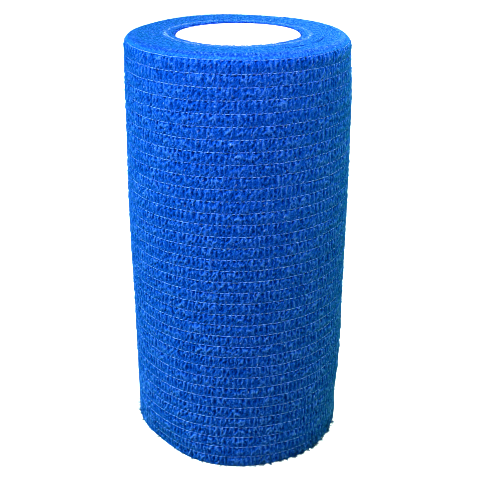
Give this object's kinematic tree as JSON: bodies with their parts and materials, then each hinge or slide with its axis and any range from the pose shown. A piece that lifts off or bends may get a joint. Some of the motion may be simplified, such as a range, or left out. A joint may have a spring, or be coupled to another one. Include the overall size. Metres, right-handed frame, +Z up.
{
  "type": "cohesive bandage roll",
  "caption": "Roll of ribbed, puckered self-gripping crepe bandage wound on a white tube, standing on end with an open bore.",
  "frame": {"origin": "middle of the end face that the roll stands on", "axes": "+Z up along the roll's axis; -Y is the front, the side that the picture shows"},
  "size_m": [0.0528, 0.0524, 0.1],
  "materials": {
    "blue_crepe": "matt, fuzzy crepe nonwoven with pale stitched elastic threads",
    "white_tube": "smooth matt white"
  },
  "bodies": {
    "root": {"bandage_roll": "blue_crepe", "core_tube": "white_tube"}
  },
  "joints": []
}
